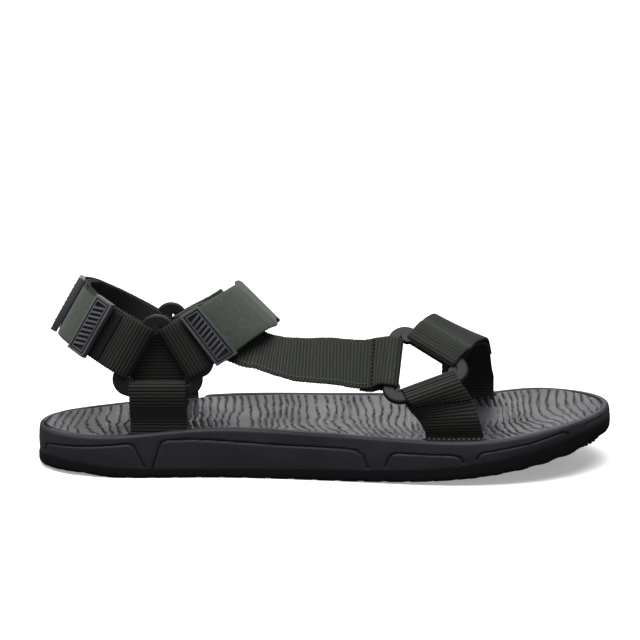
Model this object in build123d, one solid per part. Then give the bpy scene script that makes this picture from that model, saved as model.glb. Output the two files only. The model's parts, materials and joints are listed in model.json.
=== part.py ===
"""Right-foot strappy sport sandal: rubber outsole, foam midsole and footbed, ribbed webbing straps looped
through three moulded triangle rings, and hook-and-loop closures with moulded pull tabs.
+X runs to the toe, +Y to the inner side of the foot, +Z up. The origin is on the ground under the
middle of the sole."""

import copy
import math
import os
from build123d import *

# ---- driving dimensions, mm ----
HEEL = 145.0
TOE = 148.0
SOLE_WIDTH = 104.0
OUTSOLE = 6.0
FOOTBED_DEPTH = 6.0
RIM = 4.0
TREAD_DEPTH = 2.2
TREAD_PITCH = 11.6
TREAD_GROOVE = 3.0

WEB_WIDTH = 28.5
WEB = 1.5
TAPE = 0.7
SEAM = 0.08
GAP = 0.3

RING_SIDE = 36.0
RING_BAR = 6.0
RING_THICK = 3.5
RING_CORNER = 8.5
LOOP = RING_THICK / 2 + 0.35 + WEB / 2

REAR_RING_X = -80.5
REAR_RING_Y = 34.0
REAR_RING_Z = 57.3
INNER_DROP = 4.8
INNER_SHIFT = 1.0
FRONT_RING = Vector(47.2, -36.0, 56.0)
FRONT_LEAN = 44.0
FRONT_TURN = -7.0

TAB_LENGTH = 11.0
TAB_WIDTH = 30.5
TAB_HEIGHT = 3.4

X_AXIS = Vector(1, 0, 0)
Y_AXIS = Vector(0, 1, 0)
Z_AXIS = Vector(0, 0, 1)
BAR_CENTRE = RING_SIDE / (2 * math.sqrt(3)) + RING_THICK / 2
nodes = {}
hinges = {}


# ---- sole ----
def outline(inset=0.0):
    """The sole's plan outline, seen from above, as a face."""
    side = SOLE_WIDTH / 2
    points = [
        (-HEEL, 0), (-134, -24), (-108, -35.5), (-65, -36), (-20, -38.5), (25, -46), (66, -side),
        (104, -46.5), (130, -30.5), (TOE - 2, -6), (TOE, 11), (140, 32), (118, 47.5), (84, side),
        (48, 47.5), (10, 38.5), (-30, 34.5), (-70, 35), (-108, 35.5), (-134, 24),
    ]
    edge = Spline([Vector(x, y, 0) for x, y in points], periodic=True)
    if inset:
        edge = Spline([inwards(edge, k / 36, inset) for k in range(36)], periodic=True)
    return make_face(edge)


def inwards(edge, share, inset):
    """A point inset mm to the left of a place on the anticlockwise outline."""
    along = edge.tangent_at(share)
    return edge.position_at(share) + Vector(-along.Y, along.X, 0) * inset


def profile(lower, upper):
    """A block across the whole width between two side-view curves."""
    low = Spline([Vector(x, 0, z) for x, z in lower])
    high = Spline([Vector(x, 0, z) for x, z in upper])
    ends = [Line(low @ 0, high @ 0), Line(low @ 1, high @ 1)]
    return extrude(make_face([low, high] + ends), SOLE_WIDTH, dir=(0, 1, 0), both=True)


def raised(curve, rise):
    return [(x, z + rise) for x, z in curve]


GROUND = [(-160, 3.9), (-140, 1.2), (-122, 0), (-60, 0), (0, 0), (30, 0.7), (56, 2.2), (82, 5.0), (110, 9.9),
          (132, 14.8), (162, 22)]
BOND = [(-160, 7.9), (-140, 6.6), (-122, OUTSOLE), (-60, OUTSOLE), (0, OUTSOLE), (30, OUTSOLE + 0.5), (56, 7.8),
        (82, 10.3), (110, 16.0), (132, 20.5), (162, 27)]
SKY = [(-160, 70), (0, 70), (162, 70)]
# x, height of the top at the outer edge, on the middle line and at the inner edge
TOP = [(-160, 23.5, 21.5, 25.5), (-120, 22.3, 20.3, 25.2), (-80, 25, 22.7, 29.5), (-45, 27.2, 24.8, 33.5),
       (-10, 25.8, 24, 33.5), (30, 23.8, 22.2, 29.5), (70, 22.5, 20.8, 25), (98, 24.8, 23.2, 27),
       (124, 28.4, 27, 30), (162, 33, 32.3, 34)]


def above_top(drop=0.0):
    """Everything above the sole's cupped top face, lowered by drop."""
    rows = []
    for x, outer, middle, inner in TOP:
        cup = (outer + inner) / 2 - middle
        tilt = (inner - outer) / 2
        shares = [k / 3 for k in range(-3, 4)]
        rows.append([Vector(x, 60 * t, middle + tilt * t + cup * t * t - drop) for t in shares])
    return extrude(Face.make_surface_from_array_of_points(rows), 60, dir=(0, 0, 1))


SLOT_LENGTH = WEB_WIDTH + 1.5
SLOT_WIDTH = 4.0
POCKET = 3.2
TONGUE = 20.0
REAR_SLOT_Y = 32.2
REAR_FLOOR = 13.3
TOE_FLOOR = 11.6
# x, y and pocket floor height of the slots the straps come up through
OUTER_HEEL_SLOT = Vector(REAR_RING_X, -REAR_SLOT_Y, REAR_FLOOR)
INNER_HEEL_SLOT = Vector(REAR_RING_X + INNER_SHIFT, REAR_SLOT_Y, REAR_FLOOR + 1.0)
OUTER_TOE_SLOT = Vector(64.5, -43.3, TOE_FLOOR)
INNER_TOE_SLOT = Vector(78.5, 44.0, TOE_FLOOR + 1.6)
SLOTS = [OUTER_HEEL_SLOT, INNER_HEEL_SLOT, OUTER_TOE_SLOT, INNER_TOE_SLOT]


def slot(place):
    return Pos(place.X, place.Y, place.Z + 30) * Box(SLOT_LENGTH, SLOT_WIDTH, 60)


def pocket(place):
    side = math.copysign(1, place.Y)
    width = TONGUE + SLOT_WIDTH
    return Pos(place.X, place.Y + side * (SLOT_WIDTH - width) / 2, place.Z + POCKET) * Box(SLOT_LENGTH, width, 2 * POCKET)


def sole():
    blank = extrude(outline(), 80)
    block = blank & profile(GROUND, SKY)
    top = above_top()
    seat = extrude(outline(RIM), 80) - profile([(x, -20) for x, _ in GROUND], BOND)
    floor = above_top(FOOTBED_DEPTH)
    midsole = (block & profile(BOND, SKY)) - top - (seat & floor)
    footbed = (seat & floor) - top
    for place in SLOTS:
        midsole = midsole - pocket(place) - slot(place)
        footbed = footbed - slot(place)
    nodes["midsole"] = midsole
    nodes["footbed"] = footbed
    nodes["outsole"] = block & profile(GROUND, BOND)
    tread()


def tread():
    """Chevron grooves across the outsole, as deep all along the curved ground face."""
    layer = profile(raised(GROUND, -5), raised(GROUND, TREAD_DEPTH))
    count = int((HEEL + TOE) / TREAD_PITCH / 2)
    for k in range(-count, count):
        x = (k + 0.5) * TREAD_PITCH
        rise = 6.0
        wide = TREAD_GROOVE / 2
        ends = [(x - wide, -60), (x + rise - wide, 0), (x - wide, 60), (x + wide, 60), (x + rise + wide, 0), (x + wide, -60)]
        groove = extrude(make_face(Polyline(ends, close=True)), 60, both=True)
        nodes["outsole"] -= groove & layer


# ---- moulded rings ----
def ring():
    """A flat triangle ring lying in the XY plane, one corner towards +X."""
    inner = RING_SIDE / math.sqrt(3)
    outer = inner + 2 * RING_BAR
    outside = RegularPolygon(outer, 3)
    hole = RegularPolygon(inner, 3)
    outside = fillet(outside.vertices(), RING_CORNER)
    hole = fillet(hole.vertices(), 2.5)
    body = extrude(outside - hole, RING_THICK / 2, both=True)
    return fillet(body.faces().filter_by(Axis.Z).edges(), 1.2)


def rear_ring(side):
    """Where the rear ring of one side stands: centre, and the x and up directions of its plane."""
    if side < 0:
        return Vector(REAR_RING_X, -REAR_RING_Y, REAR_RING_Z)
    return Vector(REAR_RING_X + INNER_SHIFT, REAR_RING_Y, REAR_RING_Z - INNER_DROP)


FRONT_UP = Vector(0, math.sin(math.radians(FRONT_LEAN)), math.cos(math.radians(FRONT_LEAN)))


def front_direction(angle):
    """A direction in the front ring's plane, from its forward direction towards its up direction."""
    turned = math.radians(angle + FRONT_TURN)
    return X_AXIS * math.cos(turned) + FRONT_UP * math.sin(turned)


def rings():
    shape = ring()
    for name, side in (("ring_rear_outer", -1), ("ring_rear_inner", 1)):
        plane = Plane(origin=rear_ring(side), x_dir=Z_AXIS, z_dir=Y_AXIS)
        nodes[name] = plane * shape
    plane = Plane(origin=FRONT_RING, x_dir=front_direction(0), z_dir=X_AXIS.cross(FRONT_UP))
    nodes["ring_front_outer"] = plane * shape


# ---- webbing ----
def normals(points, rulings):
    """The face direction at each point of a strap, lengthened at bends so that the thickness holds."""
    found = []
    for k, ruling in enumerate(rulings):
        before = (points[k] - points[k - 1]).normalized() if k else None
        after = (points[k + 1] - points[k]).normalized() if k < len(points) - 1 else None
        along = (before or after) + (after or before)
        half_turn = math.radians(before.get_angle(after)) / 2 if before and after else 0
        found.append(ruling.cross(along).normalized() / math.cos(half_turn))
    return found


def strap(points, rulings, low, high, width=WEB_WIDTH):
    """A strip through the points, width across along each ruling, from low to high off its own centre line."""
    count = len(points)
    lows = low if isinstance(low, list) else [low] * count
    highs = high if isinstance(high, list) else [high] * count
    sections = []
    for point, ruling, normal, near, far in zip(points, rulings, normals(points, rulings), lows, highs):
        across = ruling.normalized() * (width / 2)
        corners = [point - across + normal * near, point + across + normal * near,
                   point + across + normal * far, point - across + normal * far]
        sections.append(make_face(Polyline(corners, close=True)))
    solid = loft(sections, ruled=True, clean=False)
    return solid


def webbing(route, width=WEB_WIDTH):
    return strap(*route, -WEB / 2, WEB / 2, width)


def turn(centre, outward, outside, ruling, steps=8):
    """Points of a strap's turn round a ring's bar, from its outer face to its inner face."""
    points = []
    for k in range(steps + 1):
        angle = math.pi * k / steps
        points.append(centre + outside * (LOOP * math.cos(angle)) - outward * (LOOP * math.sin(angle)))
    return points, [ruling] * len(points)


def join(*routes):
    points = [p for route in routes for p in route[0]]
    rulings = [r for route in routes for r in route[1]]
    return points, rulings


def smooth(points, rulings, steps):
    """A smooth curve through a few points, its rulings blended between theirs."""
    curve = Spline(points)
    marks = [curve.param_at_point(p) for p in points]
    route = []
    turned = []
    for k in range(steps + 1):
        t = k / steps
        span = max(i for i in range(len(marks) - 1) if marks[i] <= t + 1e-9)
        share = (t - marks[span]) / (marks[span + 1] - marks[span])
        share = share * share * (3 - 2 * share)
        route.append(curve.position_at(t, position_mode=PositionMode.PARAMETER))
        turned.append((rulings[span] * (1 - share) + rulings[span + 1] * share).normalized())
    return route, turned


def shifted(route, distances):
    """A route moved off its face by one distance, or by one for each point."""
    points, rulings = route
    if not isinstance(distances, list):
        distances = [distances] * len(points)
    faces = normals(points, rulings)
    return [p + n * d for p, n, d in zip(points, faces, distances)], rulings


def hinge(name, place, axis):
    """Records where a flap's peeling line is, in the drawing's own coordinates."""
    hinges[name] = (place, axis.normalized())


def peel_axis(pivot, inside, normal, ruling):
    """The ruling's direction about which a positive turn lifts the flap, from pivot to inside, along normal."""
    return ruling if ruling.cross(inside - pivot).dot(normal) > 0 else -ruling


# ---- heel strap, in a plane tilted with the rear rings' back bars ----
HEEL_OUT = Vector(-math.cos(math.radians(30)), 0, math.sin(math.radians(30)))
HEEL_RULING = Vector(0.5, 0, math.sin(math.radians(60)))
HEEL_RADIUS = REAR_RING_Y - LOOP
HEEL_LEG = 6.2
HEEL_DRIFT = Vector(INNER_SHIFT, 0, -INNER_DROP)
HEEL_INNER_LEG = HEEL_LEG - HEEL_DRIFT.dot(HEEL_OUT)
HEEL_ARC = math.pi * HEEL_RADIUS
HEEL_STEP = HEEL_ARC / 30
HEEL_END = HEEL_LEG + HEEL_ARC + HEEL_INNER_LEG
LAY = WEB + SEAM


def bar_centre(side, outward):
    return rear_ring(side) + outward * BAR_CENTRE


def heel(s, rise=0.0):
    """A point of the heel line s mm from the outer ring's bar, and rise mm outwards from it."""
    start = bar_centre(-1, HEEL_OUT)
    drift = HEEL_RULING * (HEEL_DRIFT.dot(HEEL_RULING) * s / HEEL_END)
    radius = HEEL_RADIUS + rise
    if s < HEEL_LEG:
        return start + HEEL_OUT * s + Vector(0, REAR_RING_Y - radius, 0) + drift
    if s > HEEL_LEG + HEEL_ARC:
        back = HEEL_LEG - (s - HEEL_LEG - HEEL_ARC)
        return start + HEEL_OUT * back + Vector(0, REAR_RING_Y + radius, 0) + drift
    angle = (s - HEEL_LEG) / HEEL_RADIUS
    centre = start + HEEL_OUT * HEEL_LEG + Vector(0, REAR_RING_Y, 0) + drift
    return centre + HEEL_OUT * (radius * math.sin(angle)) - Y_AXIS * (radius * math.cos(angle))


def heel_route(start, end, rises):
    """Heel line points from start to end, with the rise given at a few of them and blended between.
    Every layer has its points at the same places, so that their faces run parallel."""
    first, last = min(start, end), max(start, end)
    between = [k * HEEL_STEP for k in range(-2, 60) if first + 0.3 < k * HEEL_STEP < last - 0.3]
    places = [first] + between + [last]
    if start > end:
        places.reverse()
    points = [heel(s, blended(s, rises)) for s in places]
    return points, [HEEL_RULING] * len(points)


def blended(s, marks):
    """The value at s of a smooth line through (s, value) marks in rising order of s."""
    if s <= marks[0][0]:
        return marks[0][1]
    for (s0, v0), (s1, v1) in zip(marks, marks[1:]):
        if s <= s1:
            t = (s - s0) / (s1 - s0)
            return v0 + (v1 - v0) * t * t * (3 - 2 * t)
    return marks[-1][1]


def heel_at(angle):
    """Distance along the heel line of a place angle degrees to the outer side of the back of the heel."""
    return HEEL_LEG + math.radians(90 - angle) * HEEL_RADIUS


OUTER_LEG = 2 * LOOP
HEEL_TAB_END = heel_at(68)
HEEL_HINGE = heel_at(24.5)
HEEL_PATCH_END = heel_at(38)
BACK_TAB_END = heel_at(18.5)
ANCHOR_END = heel_at(-26)
BACK_HINGE = HEEL_END - 13.0
LOOP_RISE = LAY + WEB / 2 + SEAM + TAPE / 2
HOOK_RISE = LOOP_RISE + TAPE + GAP
FLAP_RISE = HOOK_RISE + TAPE / 2 + SEAM + WEB / 2
STRIP_RISES = [(HEEL_HINGE, FLAP_RISE - 1.4), (BACK_TAB_END - 1.0, LAY + 0.7), (BACK_TAB_END + 4, LAY),
               (ANCHOR_END + HEEL_STEP, LAY), (ANCHOR_END + 12, 0)]
RETURN_OVER = WEB + GAP + TAPE + 2 * SEAM


def return_rise(s):
    return blended(s, STRIP_RISES) + RETURN_OVER


def heel_straps():
    outer_end = heel_route(HEEL_PATCH_END, 1.2, [(0, OUTER_LEG), (3, OUTER_LEG), (16, LAY)])
    inner = heel_route(1.2, ANCHOR_END, [(0, 0)])
    bend = turn(bar_centre(-1, HEEL_OUT), HEEL_OUT, -Y_AXIS, HEEL_RULING)
    nodes["heel_anchor_outer"] = webbing(join(outer_end, bend, inner))

    loop = heel_route(13.5, HEEL_PATCH_END, [(3, OUTER_LEG + LOOP_RISE - LAY), (16, LOOP_RISE)])
    nodes["heel_loop_patch"] = strap(*loop, -TAPE / 2, TAPE / 2, WEB_WIDTH - 3)
    hook = heel_route(HEEL_TAB_END + TAB_LENGTH + 0.4, HEEL_PATCH_END, [(0, HOOK_RISE)])
    nodes["heel_hook_patch"] = strap(*hook, -TAPE / 2, TAPE / 2, WEB_WIDTH - 3)
    flap_rises = [(HEEL_PATCH_END + HEEL_STEP, FLAP_RISE), (HEEL_HINGE, FLAP_RISE - 1.4)]
    flap = webbing(heel_route(HEEL_TAB_END + 2, HEEL_HINGE - GAP, flap_rises))
    nodes["heel_flap"] = flap
    nodes["heel_pull_tab"] = pull_tab(heel_route(HEEL_TAB_END, HEEL_TAB_END + TAB_LENGTH, [(0, FLAP_RISE)]), flap, 0.6)

    inner_start = heel_route(HEEL_HINGE, HEEL_END - 1.2, STRIP_RISES)
    bar = rear_ring(1) + HEEL_OUT * BAR_CENTRE
    bend = turn(bar, HEEL_OUT, -Y_AXIS, HEEL_RULING)
    returned = heel_route(HEEL_END - 1.2, BACK_HINGE + GAP,
                          [(BACK_HINGE - 8, RETURN_OVER), (HEEL_END - 3, OUTER_LEG), (HEEL_END, OUTER_LEG)])
    nodes["heel_strap"] = webbing(join(inner_start, bend, returned))

    hinge("heel_flap_peel", heel(HEEL_HINGE - GAP / 2, FLAP_RISE - 1.4 + WEB / 2), -HEEL_RULING)
    hinge("heel_return_flap_peel", heel(BACK_HINGE + GAP / 2, blended(BACK_HINGE, [
        (BACK_HINGE - 8, RETURN_OVER), (HEEL_END - 3, OUTER_LEG)]) + WEB / 2), -HEEL_RULING)
    marks = [BACK_TAB_END + (BACK_HINGE - BACK_TAB_END) * k / 16 for k in range(17)]
    rises = [(s, return_rise(s)) for s in marks[:14]] + [(BACK_HINGE, blended(BACK_HINGE, [
        (BACK_HINGE - 8, RETURN_OVER), (HEEL_END - 3, OUTER_LEG)]))]
    back_flap = webbing(heel_route(BACK_TAB_END + 2, BACK_HINGE, rises))
    nodes["heel_return_flap"] = back_flap
    patch_rises = [(s, r - WEB / 2 - SEAM - TAPE / 2) for s, r in rises]
    patch = heel_route(BACK_TAB_END + TAB_LENGTH + 0.4, BACK_HINGE - 12, patch_rises)
    nodes["heel_return_hook_patch"] = strap(*patch, -TAPE / 2, TAPE / 2, WEB_WIDTH - 3)
    tab = heel_route(BACK_TAB_END, BACK_TAB_END + TAB_LENGTH, rises)
    nodes["heel_return_pull_tab"] = pull_tab(tab, back_flap, 0.5)


def pull_tab(route, flap, under):
    """A moulded cap on the end of a flap: a wedge, thick at its free end, with a pocket for the webbing."""
    count = len(route[0]) - 1
    tops = [TAB_HEIGHT - WEB / 2 - under - 0.7 * k / count for k in range(count + 1)]
    block = strap(*route, -WEB / 2 - under, tops, TAB_WIDTH)
    return block - flap


# ---- instep strap ----
STEP_OUT = Vector(math.cos(math.radians(30)), 0, math.sin(math.radians(30)))
STEP_RULING = Vector(-0.5, 0, math.sin(math.radians(60)))
CREASE_RULING = Vector(-0.72, 0.05, 0.69)
STEP_CREASE = Vector(-35.0, -18.0, 82.4)
STEP_FAR_CREASE = Vector(-31.5, 17.0, 80.8)


def instep_straps():
    outer_bar = bar_centre(-1, STEP_OUT)
    inner_bar = bar_centre(1, STEP_OUT)
    mid = Vector(-55.5, -31.4, 71.3)
    high = Vector(-44.0, -26.2, 77.6)
    middle_ruling = (STEP_RULING + CREASE_RULING).normalized()
    base = smooth([outer_bar + Y_AXIS * LOOP, outer_bar + Y_AXIS * LOOP + STEP_OUT * 5, mid, high,
                   STEP_CREASE - Vector(0, -3.5, 3)],
                  [STEP_RULING, STEP_RULING, middle_ruling, CREASE_RULING, CREASE_RULING], 14)
    faces = normals(*base)
    sign = -1 if faces[0].dot(Y_AXIS) > 0 else 1

    def layer(first, last, rises):
        points = [base[0][k] + faces[k] * (sign * rises[k - first]) for k in range(first, last + 1)]
        return points, base[1][first:last + 1]

    outer_rises = [blended(k, [(1.5, OUTER_LEG), (3.6, LAY)]) for k in range(12)]
    outer_leg = layer(0, 11, outer_rises)
    outer_leg = outer_leg[0][::-1], outer_leg[1][::-1]
    inner_leg = layer(1, 4, [0.0] * 4)
    bend = turn(outer_bar, STEP_OUT, -Y_AXIS, STEP_RULING)
    nodes["instep_anchor_outer"] = webbing(join((outer_leg[0][:-1], outer_leg[1][:-1]), bend, inner_leg))

    loop = layer(4, 11, [LOOP_RISE] * 8)
    nodes["instep_loop_patch"] = strap(*loop, -TAPE / 2, TAPE / 2, WEB_WIDTH - 3)
    hook = layer(7, 11, [HOOK_RISE] * 5)
    nodes["instep_hook_patch"] = strap(*hook, -TAPE / 2, TAPE / 2, WEB_WIDTH - 3)
    flap_route = layer(4, 13, [FLAP_RISE] * 9 + [FLAP_RISE - 0.3])
    flap = webbing(flap_route)
    nodes["instep_flap"] = flap
    tab_start = flap_route[0][0] - (flap_route[0][1] - flap_route[0][0]).normalized() * 2
    tab_route = [tab_start] + flap_route[0][:3], [flap_route[1][0]] + flap_route[1][:3]
    nodes["instep_pull_tab"] = pull_tab_outside(tab_route, flap, sign)

    step = (flap_route[0][-1] - flap_route[0][-2]).normalized()
    face = faces[13] * sign
    pivot = flap_route[0][-1] + step * (GAP / 2) + face * (WEB / 2)
    hinge("instep_flap_peel", pivot, peel_axis(pivot, flap_route[0][-2], face, CREASE_RULING))
    start = flap_route[0][-1] + step * GAP
    far_ruling = Vector(-0.70, -0.02, 0.71)
    top = smooth([start, start + step * 2, Vector(-33.2, -11, 83.8), Vector(-32.2, 3, 82.6), Vector(-32.2, 14.5, 79.4),
                  Vector(-38.0, 24.5, 75.5), Vector(-48.5, 29.6, 68.5), inner_bar + STEP_OUT * 5 - Y_AXIS * LOOP,
                  inner_bar + STEP_OUT * 1.5 - Y_AXIS * LOOP],
                 [CREASE_RULING, CREASE_RULING, CREASE_RULING, far_ruling, far_ruling,
                  middle_ruling, middle_ruling, STEP_RULING, STEP_RULING], 30)
    bend = turn(inner_bar, STEP_OUT, -Y_AXIS, STEP_RULING)
    returned = smooth([inner_bar + STEP_OUT * 1.5 + Y_AXIS * LOOP, inner_bar + STEP_OUT * 5 + Y_AXIS * LOOP,
                       Vector(-50.2, 32.8, 69.4), Vector(-44.4, 30.6, 73.4)],
                      [STEP_RULING, STEP_RULING, middle_ruling, middle_ruling], 10)
    nodes["instep_strap"] = webbing(join(top, bend, returned))


def pull_tab_outside(route, flap, sign):
    """A pull tab whose route runs from its free end, on the outer side that sign gives."""
    count = len(route[0]) - 1
    low = -WEB / 2 - 0.6
    tops = [TAB_HEIGHT + low - 0.7 * k / count for k in range(count + 1)]
    if sign > 0:
        return strap(*route, low, tops, TAB_WIDTH) - flap
    return strap(*route, [-top for top in tops], [-low] * (count + 1), TAB_WIDTH) - flap


# ---- risers and ankle pads ----
def tongue(place, lane, top):
    """A strap's buried end: flat under the footbed, then up its slot, lane mm outside the slot's middle."""
    side = math.copysign(1, place.Y)
    low = place.Z + WEB / 2 + SEAM
    far = abs(place.Y) + lane
    bend = 2.3
    section = [(far - TONGUE + 3, low)]
    for k in range(7):
        angle = math.radians(15 * k)
        section.append((far - bend + bend * math.sin(angle), low + bend - bend * math.cos(angle)))
    section.append((far, top))
    points = [Vector(place.X, side * y, z) for y, z in section]
    return points, [X_AXIS] * len(points)


LANE = 0.95


def risers():
    places = (("outer", -1, OUTER_HEEL_SLOT), ("inner", 1, INNER_HEEL_SLOT))
    for name, side, place in places:
        centre = rear_ring(side)
        out = Y_AXIS * side
        bar = centre - Z_AXIS * BAR_CENTRE
        base = REAR_SLOT_Y

        def at(y, z):
            return Vector(centre.X, side * y, z)

        buried = tongue(place, LANE, 25.5)
        outer = smooth([at(base + LANE, 27), at(base + 2.2, 32), at(REAR_RING_Y + LOOP, bar.Z - 5),
                        at(REAR_RING_Y + LOOP, bar.Z - 1.5)], [X_AXIS] * 4, 14)
        bend = turn(bar, -Z_AXIS, out, X_AXIS)
        inner = smooth([at(REAR_RING_Y - LOOP, bar.Z - 1.5), at(REAR_RING_Y - LOOP, bar.Z - 5), at(base - LANE, 29),
                        at(base - LANE, place.Z + 5)], [X_AXIS] * 4, 10)
        outer = join(buried, outer)
        nodes["riser_rear_" + name] = webbing(join(outer, bend, inner))
        pad_y = REAR_RING_Y - LOOP - WEB - 3 * SEAM
        pad = [at(pad_y, centre.Z - 20), at(pad_y, centre.Z + 17)]
        nodes["ankle_pad_" + name] = webbing((pad, [X_AXIS] * 2))


# ---- forefoot ----
FRONT_FACE = X_AXIS.cross(FRONT_UP)


def front_bar(angle):
    """Centre of the front ring's bar that faces angle, its outward direction and its ruling."""
    outward = front_direction(angle)
    return FRONT_RING + outward * BAR_CENTRE, outward, front_direction(angle + 90)


def toe_riser():
    bar, outward, ruling = front_bar(-60)
    x, y, floor = OUTER_TOE_SLOT
    low_ruling = Vector(1, 0, 0.04).normalized()
    half = (low_ruling + ruling).normalized()
    buried = tongue(OUTER_TOE_SLOT, LANE, 22.6)
    outer = smooth([Vector(x, y - LANE, 24), Vector(x - 2.2, y - 3.2, 31), Vector(x - 5.4, y - 3.6, 39),
                    bar + outward * 5 + FRONT_FACE * LOOP, bar + outward * 1.5 + FRONT_FACE * LOOP],
                   [X_AXIS, low_ruling, half, ruling, ruling], 18)
    outer = join(buried, outer)
    bend = turn(bar, outward, FRONT_FACE, ruling)
    inner = smooth([bar + outward * 1.5 - FRONT_FACE * LOOP, bar + outward * 5 - FRONT_FACE * LOOP,
                    Vector(x - 3.6, y - 0.3, 33), Vector(x, y + LANE, 23.8)],
                   [ruling, ruling, half, X_AXIS], 10)
    inner = join(inner, ([Vector(x, y + LANE, floor + 6)], [X_AXIS]))
    nodes["riser_toe_outer"] = webbing(join(outer, bend, inner))


def toe_straps():
    bar, outward, ruling = front_bar(60)
    ruling = -ruling
    x, y, floor = INNER_TOE_SLOT
    top_ruling = Vector(0.87, -0.16, -0.46).normalized()
    down_ruling = Vector(0.95, -0.05, -0.3).normalized()
    base = smooth([bar + outward * 1.5 - FRONT_FACE * LOOP, bar + outward * 5 - FRONT_FACE * LOOP,
                   Vector(62.6, -6, 65.4), Vector(68, 10, 65.2), Vector(74, 27.5, 58.5), Vector(77.4, 38.8, 44.5),
                   Vector(78.4, 43.2, 33), Vector(x, y, 26.5)],
                  [ruling, ruling, top_ruling, top_ruling, down_ruling, down_ruling, X_AXIS, X_AXIS], 40)
    buried = tongue(INNER_TOE_SLOT, 0, 25.0)
    base = join(base, (buried[0][::-1], buried[1][::-1]))
    bend = turn(bar, outward, FRONT_FACE, ruling)
    faces = normals(*base)
    sign = 1 if faces[10].Z > 0 else -1
    hinge_at = 4

    def layer(first, last, rises):
        points = [base[0][k] + faces[k] * (sign * blended(k, rises)) for k in range(first, last + 1)]
        return points, base[1][first:last + 1]

    over = [(0, OUTER_LEG), (1, OUTER_LEG), (6, RETURN_OVER + 0.2), (7, RETURN_OVER)]
    folded = layer(0, hinge_at, over)
    folded = folded[0][::-1], folded[1][::-1]
    nodes["toe_strap"] = webbing(join(folded, bend, base))
    end = 29
    flap = layer(hinge_at, end, over)
    start = flap[0][0] + (flap[0][1] - flap[0][0]).normalized() * GAP
    nodes["toe_flap"] = webbing(([start] + flap[0][1:], flap[1]))
    face = faces[hinge_at] * sign
    pivot = flap[0][0] + (start - flap[0][0]) / 2 + face * (WEB / 2)
    hinge("toe_flap_peel", pivot, peel_axis(pivot, flap[0][1], face, flap[1][0]))
    hooks = layer(10, end - 1, [(0, RETURN_OVER - WEB / 2 - SEAM - TAPE / 2)])
    nodes["toe_hook_patch"] = strap(*hooks, -TAPE / 2, TAPE / 2, WEB_WIDTH - 3)


def quarter_strap():
    bar, outward, ruling = front_bar(180)
    ruling = -ruling
    lean = Vector(0.07, 0.66, 0.75).normalized()
    outer = smooth([bar + outward * 1.5 + FRONT_FACE * LOOP, bar + outward * 5 + FRONT_FACE * LOOP,
                    Vector(24, -38.2, 58.3), Vector(6, -38.4, 59.3), Vector(-11.5, -37.2, 59.9), Vector(-20.5, -33.6, 60.8),
                    Vector(-29.5, -29.0, 62.7), Vector(-37, -27.0, 66.4), Vector(-44, -25.5, 71.2)],
                   [ruling, ruling, lean, Vector(0.02, 0.72, 0.69), Vector(0.05, 0.78, 0.62), Vector(0.08, 0.84, 0.54),
                    Vector(0.13, 0.86, 0.49), Vector(0.28, 0.68, 0.68), Vector(0.35, 0.4, 0.85)], 28)
    outer = outer[0][::-1], outer[1][::-1]
    bend = turn(bar, outward, FRONT_FACE, ruling)
    inner = smooth([bar + outward * 1.5 - FRONT_FACE * LOOP, bar + outward * 5 - FRONT_FACE * LOOP,
                    Vector(25.5, -36.4, 56.0), Vector(19, -36.9, 56.8)], [ruling, ruling, lean, lean], 8)
    nodes["quarter_strap"] = webbing(join(outer, bend, inner))


def build():
    sole()
    rings()
    heel_straps()
    instep_straps()
    risers()
    toe_riser()
    toe_straps()
    quarter_strap()


build()
box = Compound(children=[copy.copy(shape) for shape in nodes.values()]).bounding_box()
to_origin = Vector(-box.center().X, -box.center().Y, -box.min.Z)
os.makedirs("parts", exist_ok=True)
for name, shape in nodes.items():
    export_step(Pos(*to_origin) * shape, f"parts/{name}.step")
print("moved by", to_origin, "to stand on the origin")
for name, (place, axis) in hinges.items():
    print(name, (place + to_origin) / 1000, axis)
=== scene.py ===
import json
import math
from functools import cache

import bmesh
import bpy
import numpy as np
from bpy.props import FloatProperty, FloatVectorProperty, PointerProperty
from bpy.types import Operator, Panel, PropertyGroup
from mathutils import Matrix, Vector, noise
from mathutils.bvhtree import BVHTree


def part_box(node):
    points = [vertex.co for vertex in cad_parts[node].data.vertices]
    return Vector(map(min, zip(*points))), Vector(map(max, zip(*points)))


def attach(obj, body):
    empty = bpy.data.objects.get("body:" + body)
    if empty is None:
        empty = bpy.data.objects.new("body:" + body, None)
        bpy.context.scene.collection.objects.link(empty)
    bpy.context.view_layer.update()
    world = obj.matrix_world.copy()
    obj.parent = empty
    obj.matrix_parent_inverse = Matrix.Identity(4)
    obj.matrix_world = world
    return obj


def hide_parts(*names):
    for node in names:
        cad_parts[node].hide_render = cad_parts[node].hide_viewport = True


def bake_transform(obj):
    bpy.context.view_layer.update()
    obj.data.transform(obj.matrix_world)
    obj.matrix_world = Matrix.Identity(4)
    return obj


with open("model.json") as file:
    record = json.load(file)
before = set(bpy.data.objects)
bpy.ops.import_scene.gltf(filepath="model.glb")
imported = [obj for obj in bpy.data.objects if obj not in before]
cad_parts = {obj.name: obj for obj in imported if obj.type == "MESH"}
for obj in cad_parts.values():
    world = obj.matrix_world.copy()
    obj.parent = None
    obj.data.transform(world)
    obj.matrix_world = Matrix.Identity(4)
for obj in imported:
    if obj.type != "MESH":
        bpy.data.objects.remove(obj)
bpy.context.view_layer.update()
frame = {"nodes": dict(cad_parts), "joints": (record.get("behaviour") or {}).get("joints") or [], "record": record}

bl_info = {
    "name": "Strappy sport sandal",
    "version": (1, 0, 0),
    "blender": (4, 5, 0),
    "location": "View3D > Sidebar > Sandal",
    "description": "Builds a webbing-strap sport sandal piece by piece over its CAD frame",
    "category": "Object",
}

MM = 0.001
NODES = frame["nodes"]
ROOT = "sandal"
STRAP_WIDTHS = (28.5 * MM, 25.5 * MM)
MERGE = 0.01 * MM
BEND_REACH = 3.5 * MM


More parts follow.
